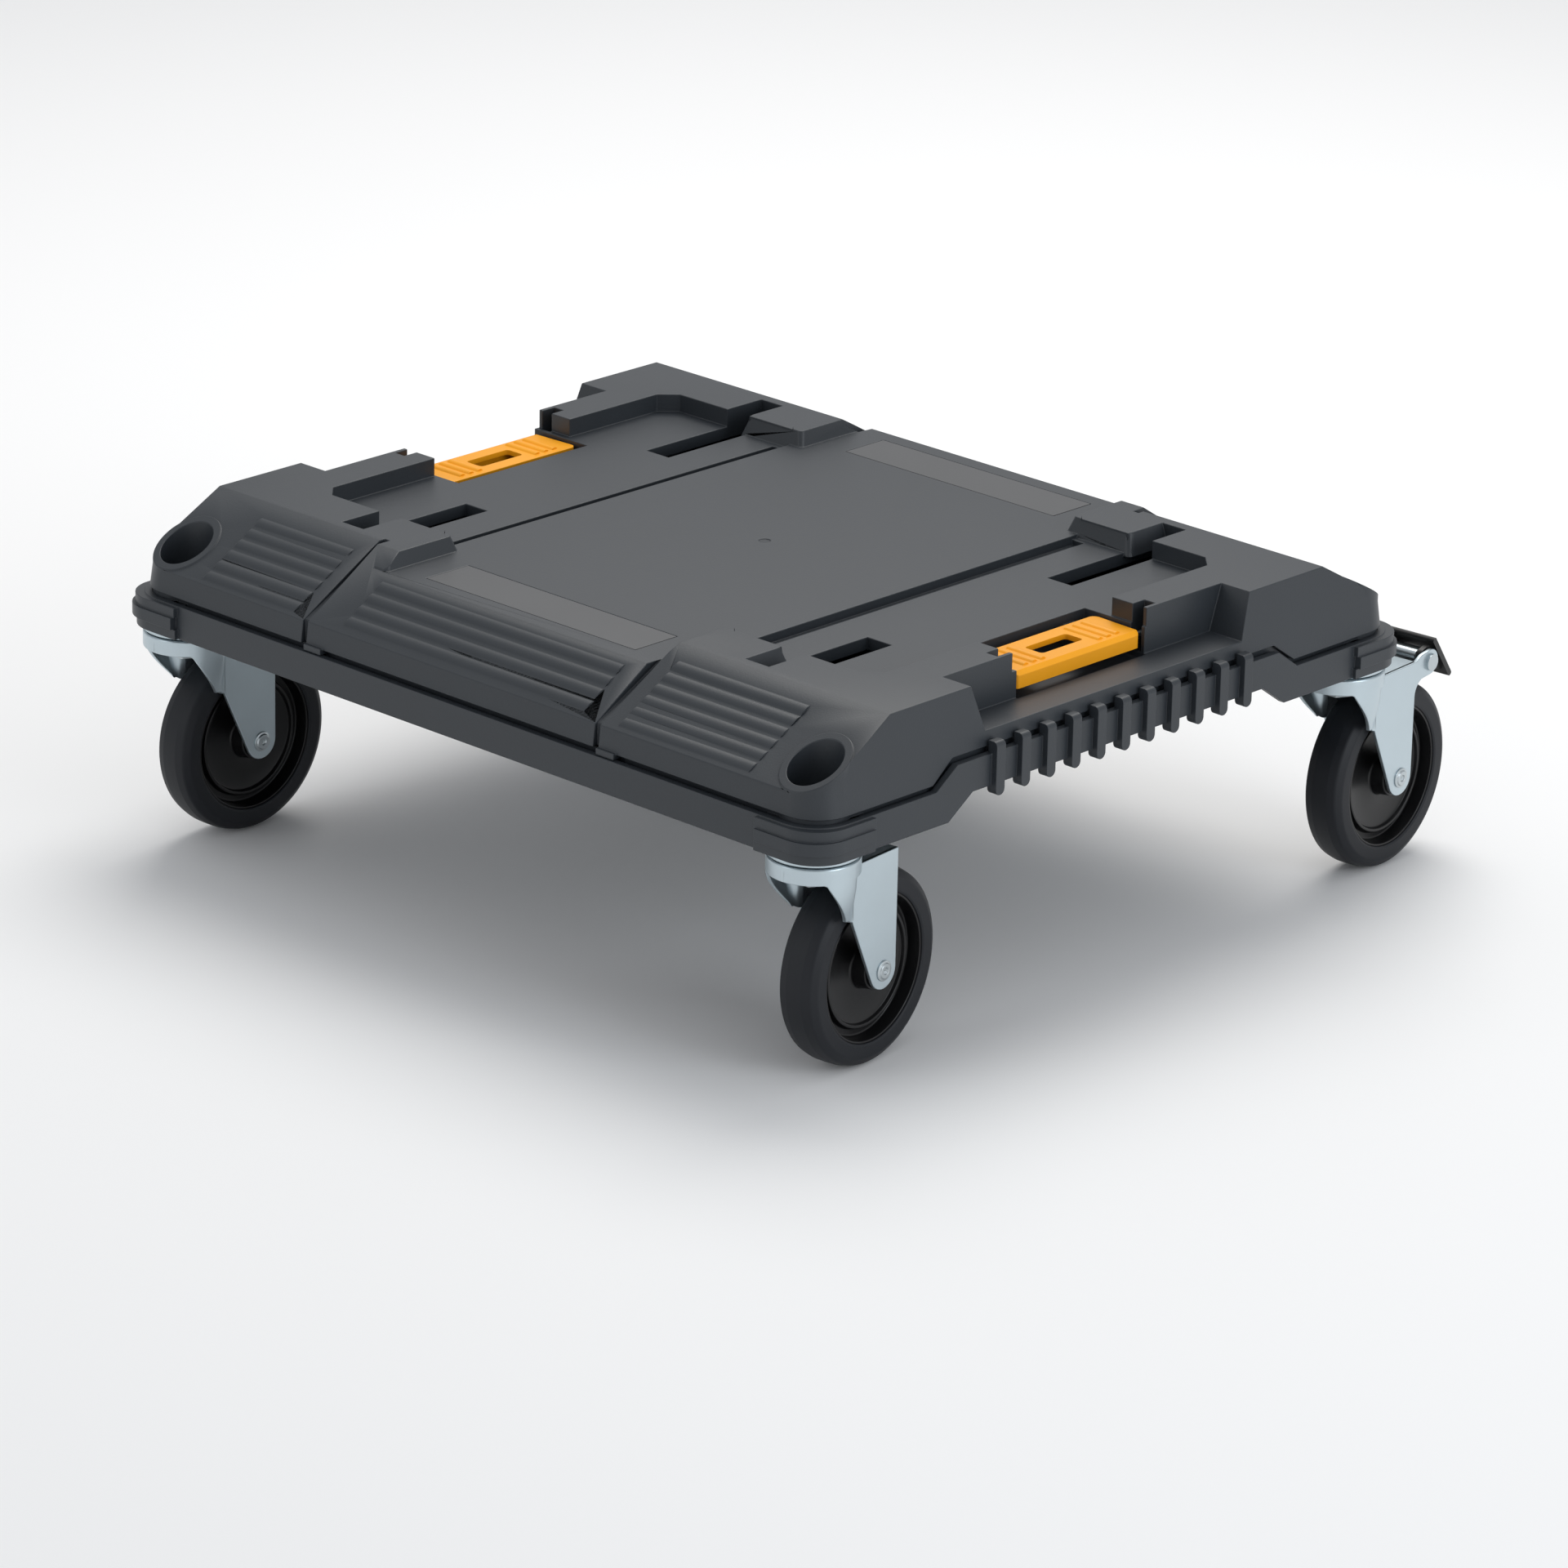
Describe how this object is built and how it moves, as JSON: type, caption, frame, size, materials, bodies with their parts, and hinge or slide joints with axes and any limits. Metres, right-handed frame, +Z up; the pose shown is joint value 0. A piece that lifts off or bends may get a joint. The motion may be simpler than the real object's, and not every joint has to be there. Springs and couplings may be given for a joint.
{
  "type": "tool box carrier dolly",
  "caption": "Low moulded carrier for stackable tool boxes on swivel castors, with sloping ends, hook slots, side hand recesses and flip latches.",
  "frame": {"origin": "middle of the footprint on the floor, castors trailing to +Y", "axes": "+X towards the right-hand latch, +Y the way the castors trail, +Z up"},
  "size_m": [0.504, 0.5113, 0.1855],
  "materials": {
    "deck_plastic": "fine moulded grain, satin",
    "frame_plastic": "fine moulded grain",
    "badge_plastic": "smooth satin",
    "latch_plastic": "smooth satin",
    "tyre_rubber": "smooth, slightly dull",
    "hub_plastic": "satin",
    "pedal_black": "satin",
    "zinc_sheet": "zinc plated, soft gloss",
    "bright_steel": "zinc plated"
  },
  "bodies": {
    "deck": {"deck_shell": "deck_plastic", "base_frame": "frame_plastic", "shell_screws": "bright_steel", "front_badge": "badge_plastic", "rear_badge": "badge_plastic", "latch_pin_left": "bright_steel", "latch_pin_right": "bright_steel", "castor_bolts": "bright_steel", "castor_washers": "bright_steel", "castor_nuts": "bright_steel", "upper_race_front_left": "zinc_sheet", "king_pin_front_left": "bright_steel", "swivel_balls_front_left": "bright_steel", "upper_race_front_right": "zinc_sheet", "king_pin_front_right": "bright_steel", "swivel_balls_front_right": "bright_steel", "upper_race_rear_left": "zinc_sheet", "king_pin_rear_left": "bright_steel", "swivel_balls_rear_left": "bright_steel", "upper_race_rear_right": "zinc_sheet", "king_pin_rear_right": "bright_steel", "swivel_balls_rear_right": "bright_steel"},
    "latch_left": {"latch_left": "latch_plastic"},
    "latch_right": {"latch_right": "latch_plastic"},
    "swivel_front_left": {"fork_front_left": "zinc_sheet", "axle_bolt_front_left": "bright_steel", "axle_nut_front_left": "bright_steel", "axle_bush_front_left": "bright_steel"},
    "wheel_front_left": {"hub_front_left": "hub_plastic", "tyre_front_left": "tyre_rubber"},
    "swivel_front_right": {"fork_front_right": "zinc_sheet", "axle_bolt_front_right": "bright_steel", "axle_nut_front_right": "bright_steel", "axle_bush_front_right": "bright_steel"},
    "wheel_front_right": {"hub_front_right": "hub_plastic", "tyre_front_right": "tyre_rubber"},
    "swivel_rear_left": {"fork_rear_left": "zinc_sheet", "axle_bolt_rear_left": "bright_steel", "axle_nut_rear_left": "bright_steel", "axle_bush_rear_left": "bright_steel", "brake_pivot_rear_left": "bright_steel"},
    "wheel_rear_left": {"hub_rear_left": "hub_plastic", "tyre_rear_left": "tyre_rubber"},
    "brake_rear_left": {"brake_pedal_rear_left": "pedal_black", "brake_shoe_rear_left": "bright_steel"},
    "swivel_rear_right": {"fork_rear_right": "zinc_sheet", "axle_bolt_rear_right": "bright_steel", "axle_nut_rear_right": "bright_steel", "axle_bush_rear_right": "bright_steel", "brake_pivot_rear_right": "bright_steel"},
    "wheel_rear_right": {"hub_rear_right": "hub_plastic", "tyre_rear_right": "tyre_rubber"},
    "brake_rear_right": {"brake_pedal_rear_right": "pedal_black", "brake_shoe_rear_right": "bright_steel"}
  },
  "joints": [
    {"name": "latch_left_flip", "type": "hinge", "parent": "deck", "child": "latch_left", "pos_m": [-0.2145, -0.0311, 0.1691], "axis": [0, -1, 0], "range_deg": [0, 100]},
    {"name": "latch_right_flip", "type": "hinge", "parent": "deck", "child": "latch_right", "pos_m": [0.2145, -0.0311, 0.1691], "axis": [0, 1, 0], "range_deg": [0, 100]},
    {"name": "swivel_front_left", "type": "hinge", "parent": "deck", "child": "swivel_front_left", "pos_m": [-0.2257, -0.2296, 0.112], "axis": [0, 0, 1], "continuous": true},
    {"name": "wheel_front_left_spin", "type": "hinge", "parent": "swivel_front_left", "child": "wheel_front_left", "pos_m": [-0.2257, -0.1926, 0.051], "axis": [1, 0, 0], "continuous": true},
    {"name": "swivel_front_right", "type": "hinge", "parent": "deck", "child": "swivel_front_right", "pos_m": [0.2257, -0.2296, 0.112], "axis": [0, 0, 1], "continuous": true},
    {"name": "wheel_front_right_spin", "type": "hinge", "parent": "swivel_front_right", "child": "wheel_front_right", "pos_m": [0.2219, -0.1928, 0.051], "axis": [0.9947, 0.1028, 0], "continuous": true},
    {"name": "swivel_rear_left", "type": "hinge", "parent": "deck", "child": "swivel_rear_left", "pos_m": [-0.2257, 0.1674, 0.112], "axis": [0, 0, 1], "continuous": true},
    {"name": "wheel_rear_left_spin", "type": "hinge", "parent": "swivel_rear_left", "child": "wheel_rear_left", "pos_m": [-0.22699, 0.20438, 0.051], "axis": [0.9994, 0.0349, 0], "continuous": true},
    {"name": "brake_rear_left_press", "type": "hinge", "parent": "swivel_rear_left", "child": "brake_rear_left", "pos_m": [-0.22779, 0.22736, 0.1095], "axis": [0.9994, 0.0349, 0], "range_deg": [-25, 0]},
    {"name": "swivel_rear_right", "type": "hinge", "parent": "deck", "child": "swivel_rear_right", "pos_m": [0.2257, 0.1674, 0.112], "axis": [0, 0, 1], "continuous": true},
    {"name": "wheel_rear_right_spin", "type": "hinge", "parent": "swivel_rear_right", "child": "wheel_rear_right", "pos_m": [0.22267, 0.20428, 0.051], "axis": [0.9966, 0.0819, 0], "continuous": true},
    {"name": "brake_rear_right_press", "type": "hinge", "parent": "swivel_rear_right", "child": "brake_rear_right", "pos_m": [0.22078, 0.2272, 0.1095], "axis": [0.9966, 0.0819, 0], "range_deg": [-25, 0]}
  ]
}
